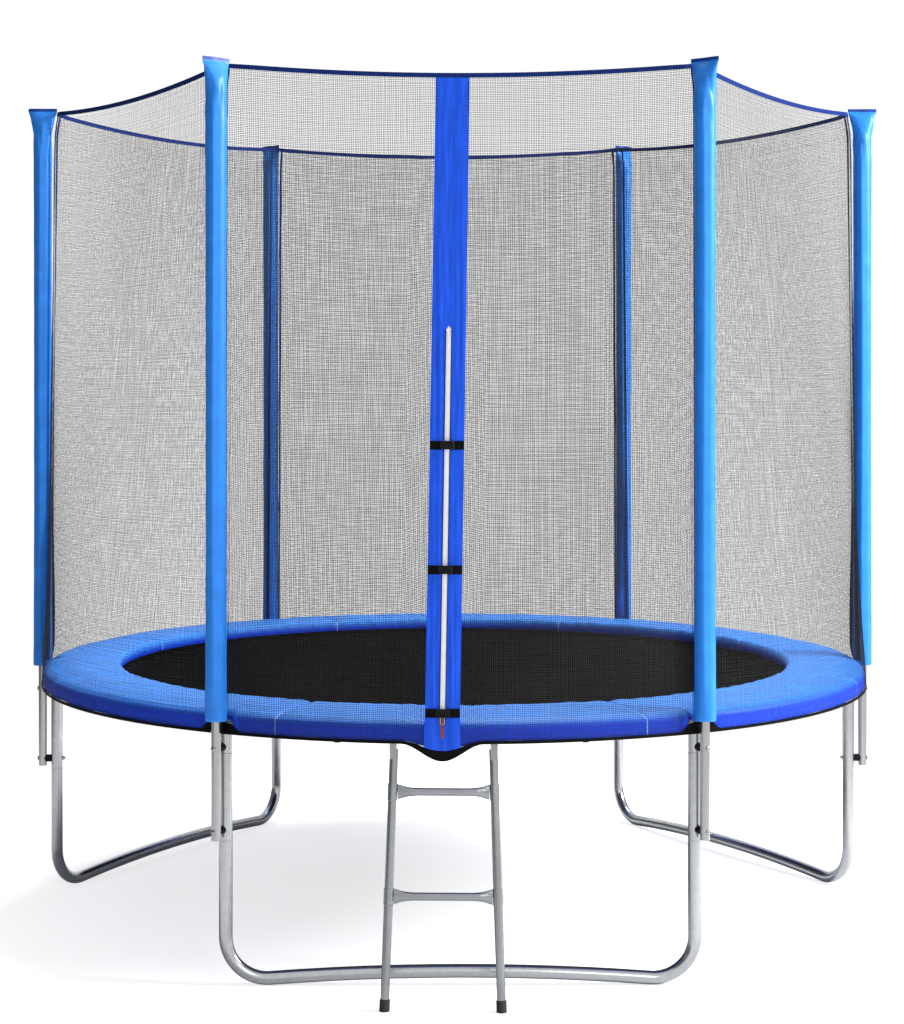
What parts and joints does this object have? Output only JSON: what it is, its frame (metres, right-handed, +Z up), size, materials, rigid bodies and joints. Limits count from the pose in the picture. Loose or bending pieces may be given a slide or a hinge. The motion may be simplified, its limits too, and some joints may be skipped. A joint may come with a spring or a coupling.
{
  "type": "trampoline",
  "caption": "Round garden trampoline with a sprung mat, padded edge, safety net on padded poles, zipped door, U-legs and a hook-on ladder.",
  "frame": {"origin": "middle of the floor that the part covers, at the height that it stands on", "axes": "+Z up; -Y is the front, with the door and the ladder; +X to the right, seen from the front"},
  "size_m": [2.578, 2.53, 2.372],
  "materials": {
    "galvanised_tube": "smooth galvanised steel",
    "pole_steel": "smooth galvanised steel",
    "blue_sleeve": "shiny coated cloth",
    "foam": "soft foam",
    "black_plastic": "moulded",
    "zinc": "zinc plated",
    "black_mat": "close woven",
    "blue_pad": "woven coated cloth over foam",
    "black_webbing": "woven tape",
    "net": "fine open knitted net",
    "navy_tape": "woven tape",
    "blue_band": "coated cloth",
    "white_tape": "zip tape",
    "red_metal": "painted",
    "ladder_steel": "smooth coated steel",
    "black_rubber": "matt"
  },
  "bodies": {
    "frame": {"frame_rail_1": "galvanised_tube", "frame_rail_2": "galvanised_tube", "frame_rail_3": "galvanised_tube", "frame_rail_4": "galvanised_tube", "frame_rail_5": "galvanised_tube", "frame_rail_6": "galvanised_tube", "leg_upright_1": "galvanised_tube", "leg_upright_2": "galvanised_tube", "leg_upright_3": "galvanised_tube", "leg_upright_4": "galvanised_tube", "leg_upright_5": "galvanised_tube", "leg_upright_6": "galvanised_tube", "base_leg_front": "galvanised_tube", "base_leg_right": "galvanised_tube", "base_leg_left": "galvanised_tube", "pole_lower_1": "pole_steel", "pole_lower_2": "pole_steel", "pole_lower_3": "pole_steel", "pole_lower_4": "pole_steel", "pole_lower_5": "pole_steel", "pole_lower_6": "pole_steel", "pole_upper_1": "pole_steel", "pole_upper_2": "pole_steel", "pole_upper_3": "pole_steel", "pole_upper_4": "pole_steel", "pole_upper_5": "pole_steel", "pole_upper_6": "pole_steel", "pole_sleeve_1": "blue_sleeve", "pole_sleeve_2": "blue_sleeve", "pole_sleeve_3": "blue_sleeve", "pole_sleeve_4": "blue_sleeve", "pole_sleeve_5": "blue_sleeve", "pole_sleeve_6": "blue_sleeve", "pole_foams": "foam", "pole_caps": "black_plastic", "pole_spacers": "black_plastic", "pole_bolts": "zinc", "pole_nuts": "zinc", "springs": "zinc", "edge_pad": "blue_pad", "pad_ties": "black_webbing", "safety_net": "net", "net_top_hem": "navy_tape", "net_bottom_hem": "black_webbing", "door_band": "blue_band", "zip_tapes": "white_tape", "door_straps": "black_webbing", "buckle_sockets": "black_plastic"},
    "mat": {"jump_mat": "black_mat", "mat_rings": "zinc"},
    "zip_slider_body": {"zip_slider": "red_metal"},
    "zip_pull_body": {"zip_pull": "red_metal"},
    "clip_low": {"buckle_clip_1": "black_plastic"},
    "clip_mid": {"buckle_clip_2": "black_plastic"},
    "clip_high": {"buckle_clip_3": "black_plastic"},
    "ladder": {"ladder_rail_left": "ladder_steel", "ladder_rail_right": "ladder_steel", "ladder_rungs": "ladder_steel", "ladder_feet": "black_rubber"}
  },
  "joints": [
    {"name": "mat_bounce", "type": "slide", "parent": "frame", "child": "mat", "axis": [0, 0, 1], "range_m": [-0.15, 0.01], "stiffness_N_per_m": 4000, "springref_m": 0.00627, "deforming": ["springs"]},
    {"name": "zip_slide", "type": "slide", "parent": "frame", "child": "zip_slider_body", "axis": [0.0182, 0.109, 0.9939], "range_m": [0, 0.965]},
    {"name": "zip_pull_swing", "type": "hinge", "parent": "zip_slider_body", "child": "zip_pull_body", "pos_m": [-0.04873, -1.19923, 0.70553], "axis": [-0.9992, 0.0389, 0], "range_deg": [0, 120]},
    {"name": "clip_low_release", "type": "slide", "parent": "frame", "child": "clip_low", "axis": [-0.9992, 0.0389, 0], "range_m": [0, 0.018]},
    {"name": "clip_mid_release", "type": "slide", "parent": "frame", "child": "clip_mid", "axis": [-0.9992, 0.0389, 0], "range_m": [0, 0.018]},
    {"name": "clip_high_release", "type": "slide", "parent": "frame", "child": "clip_high", "axis": [-0.9992, 0.0389, 0], "range_m": [0, 0.018]},
    {"name": "ladder_swing", "type": "hinge", "parent": "frame", "child": "ladder", "pos_m": [-0.04467, -1.16237, 0.66], "axis": [-0.9993, 0.0373, 0], "range_deg": [0, 10]}
  ]
}
